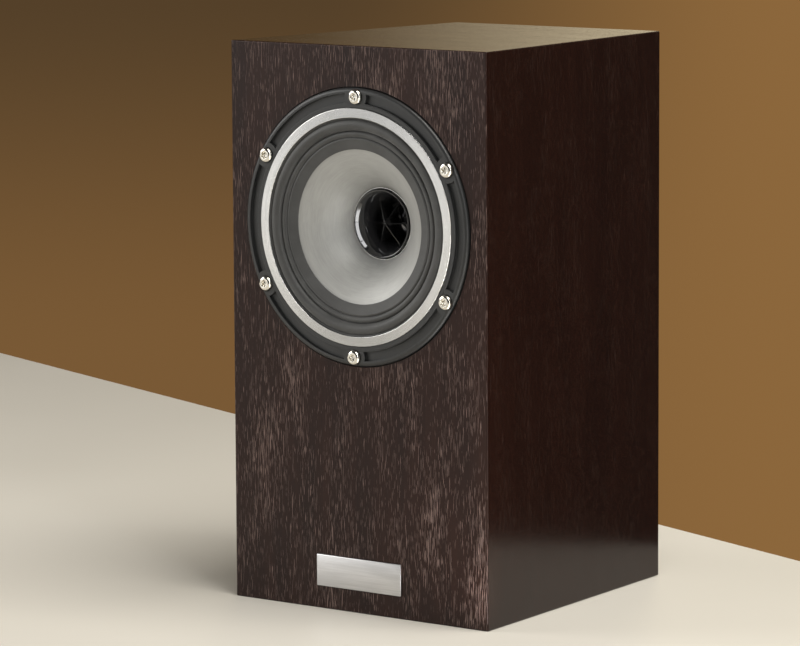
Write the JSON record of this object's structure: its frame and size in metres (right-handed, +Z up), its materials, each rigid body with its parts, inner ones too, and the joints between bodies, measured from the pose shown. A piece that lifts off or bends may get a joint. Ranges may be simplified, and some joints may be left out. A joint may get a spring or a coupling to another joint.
{
  "type": "bookshelf speaker",
  "caption": "Bookshelf loudspeaker: wood-veneered cabinet that narrows to the rear, coaxial drive unit with a horn in its cone, reflex port and screw-down cable posts.",
  "frame": {"origin": "centre of the cabinet's underside, on the surface it stands on", "axes": "+Z up, -Y out of the front baffle, +X to the right of a person looking at the front"},
  "size_m": [0.1678, 0.2085, 0.3],
  "materials": {
    "cabinet_veneer": "dark straight-grained veneer, satin lacquer",
    "rear_paint": "satin black paint on fibreboard",
    "brace_board": "bare fibreboard",
    "lining_foam": "open-cell foam",
    "plate_metal": "brushed, bevelled edges",
    "port_plastic": "fine spark-eroded black",
    "chassis_coat": "cast, satin black powder coat",
    "seal_foam": "closed-cell foam",
    "screw_plate": "nickel plated, bright",
    "black_screw": "black zinc plated",
    "insert_brass": "turned",
    "trim_metal": "fine circular brushing",
    "motor_steel": "zinc plated",
    "ferrite": "ground ferrite",
    "neodymium": "nickel plated",
    "horn_gloss": "moulded, polished black",
    "clamp_plastic": "moulded",
    "dome_metal": "anodised",
    "surround_rubber": "matt butyl",
    "coil_copper": "enamelled copper wire",
    "former_foil": "thin foil",
    "cone_satin": "silver-grey pigment, satin",
    "spider_cloth": "resin-treated woven cloth",
    "board_laminate": "glass-fibre laminate",
    "tag_metal": "tinned",
    "lead_braid": "braided copper",
    "terminal_plastic": "moulded satin black",
    "post_gold": "gold plated",
    "cap_black": "clear-coated black",
    "cap_red": "clear-coated red",
    "capacitor_film": "heat-shrunk film",
    "resistor_ceramic": "cement filled",
    "wire_sleeve": "insulated copper wire"
  },
  "bodies": {
    "cabinet": {"baffle_inserts": "insert_brass", "board_fixings": "black_screw", "cabinet_bottom": "cabinet_veneer", "cabinet_left_side": "cabinet_veneer", "cabinet_right_side": "cabinet_veneer", "cabinet_top": "cabinet_veneer", "chassis_gasket": "seal_foam", "chassis_rivets": "motor_steel", "crossover_board": "board_laminate", "crossover_capacitors": "capacitor_film", "crossover_resistors": "resistor_ceramic", "driver_chassis": "chassis_coat", "driver_screws": "screw_plate", "driver_wires": "wire_sleeve", "flex_leads": "lead_braid", "foam_lining": "lining_foam", "front_baffle": "cabinet_veneer", "front_pole_plate": "motor_steel", "inductor_bobbins": "board_laminate", "inductor_windings": "coil_copper", "magnet_ring": "ferrite", "name_plate": "plate_metal", "phase_plug": "horn_gloss", "pole_yoke": "motor_steel", "port_tube": "port_plastic", "post_collars": "terminal_plastic", "post_links": "post_gold", "post_nuts": "post_gold", "post_shanks": "post_gold", "rear_panel": "rear_paint", "shelf_brace": "brace_board", "solder_tags": "tag_metal", "spider": "spider_cloth", "surround": "surround_rubber", "tag_board": "board_laminate", "terminal_plate": "terminal_plastic", "terminal_screws": "black_screw", "terminal_seal": "seal_foam", "terminal_wires": "wire_sleeve", "trim_ring": "trim_metal", "tweeter_clamp_ring": "clamp_plastic", "tweeter_cup": "motor_steel", "tweeter_front_plate": "motor_steel", "tweeter_horn": "horn_gloss", "tweeter_magnet": "neodymium", "tweeter_pole_disc": "motor_steel", "tweeter_surround": "surround_rubber"},
    "bass_cone": {"cone": "cone_satin", "coil_former": "former_foil", "voice_coil": "coil_copper"},
    "treble_dome": {"tweeter_dome": "dome_metal", "tweeter_voice_coil": "coil_copper"},
    "treble_minus_clamp": {"treble_minus_washer": "post_gold"},
    "treble_minus_knob": {"treble_minus_cap": "cap_black"},
    "bass_minus_clamp": {"bass_minus_washer": "post_gold"},
    "bass_minus_knob": {"bass_minus_cap": "cap_black"},
    "treble_plus_clamp": {"treble_plus_washer": "post_gold"},
    "treble_plus_knob": {"treble_plus_cap": "cap_red"},
    "bass_plus_clamp": {"bass_plus_washer": "post_gold"},
    "bass_plus_knob": {"bass_plus_cap": "cap_red"}
  },
  "joints": [
    {"name": "cone_travel", "type": "slide", "parent": "cabinet", "child": "bass_cone", "axis": [0, -1, 0], "range_m": [-0.003, 0.003], "stiffness_N_per_m": 1200, "deforming": ["surround", "spider", "flex_leads"]},
    {"name": "dome_travel", "type": "slide", "parent": "cabinet", "child": "treble_dome", "axis": [0, -1, 0], "range_m": [-0.00025, 0.00025], "stiffness_N_per_m": 500, "deforming": ["tweeter_surround"]},
    {"name": "treble_minus_clamp_travel", "type": "slide", "parent": "cabinet", "child": "treble_minus_clamp", "axis": [0, 1, 0], "range_m": [0, 0.004]},
    {"name": "treble_minus_cap_turn", "type": "hinge", "parent": "treble_minus_clamp", "child": "treble_minus_knob", "pos_m": [-0.013, 0.1, 0.092], "axis": [0, 1, 0], "range_deg": [0, 1440]},
    {"name": "bass_minus_clamp_travel", "type": "slide", "parent": "cabinet", "child": "bass_minus_clamp", "axis": [0, 1, 0], "range_m": [0, 0.004]},
    {"name": "bass_minus_cap_turn", "type": "hinge", "parent": "bass_minus_clamp", "child": "bass_minus_knob", "pos_m": [-0.013, 0.1, 0.056], "axis": [0, 1, 0], "range_deg": [0, 1440]},
    {"name": "treble_plus_clamp_travel", "type": "slide", "parent": "cabinet", "child": "treble_plus_clamp", "axis": [0, 1, 0], "range_m": [0, 0.004]},
    {"name": "treble_plus_cap_turn", "type": "hinge", "parent": "treble_plus_clamp", "child": "treble_plus_knob", "pos_m": [0.013, 0.1, 0.092], "axis": [0, 1, 0], "range_deg": [0, 1440]},
    {"name": "bass_plus_clamp_travel", "type": "slide", "parent": "cabinet", "child": "bass_plus_clamp", "axis": [0, 1, 0], "range_m": [0, 0.004]},
    {"name": "bass_plus_cap_turn", "type": "hinge", "parent": "bass_plus_clamp", "child": "bass_plus_knob", "pos_m": [0.013, 0.1, 0.056], "axis": [0, 1, 0], "range_deg": [0, 1440]}
  ],
  "couplings": [
    {"joint": "treble_minus_cap_turn", "follows": "treble_minus_clamp_travel", "rad_per_m": 6283.2},
    {"joint": "bass_minus_cap_turn", "follows": "bass_minus_clamp_travel", "rad_per_m": 6283.2},
    {"joint": "treble_plus_cap_turn", "follows": "treble_plus_clamp_travel", "rad_per_m": 6283.2},
    {"joint": "bass_plus_cap_turn", "follows": "bass_plus_clamp_travel", "rad_per_m": 6283.2}
  ]
}
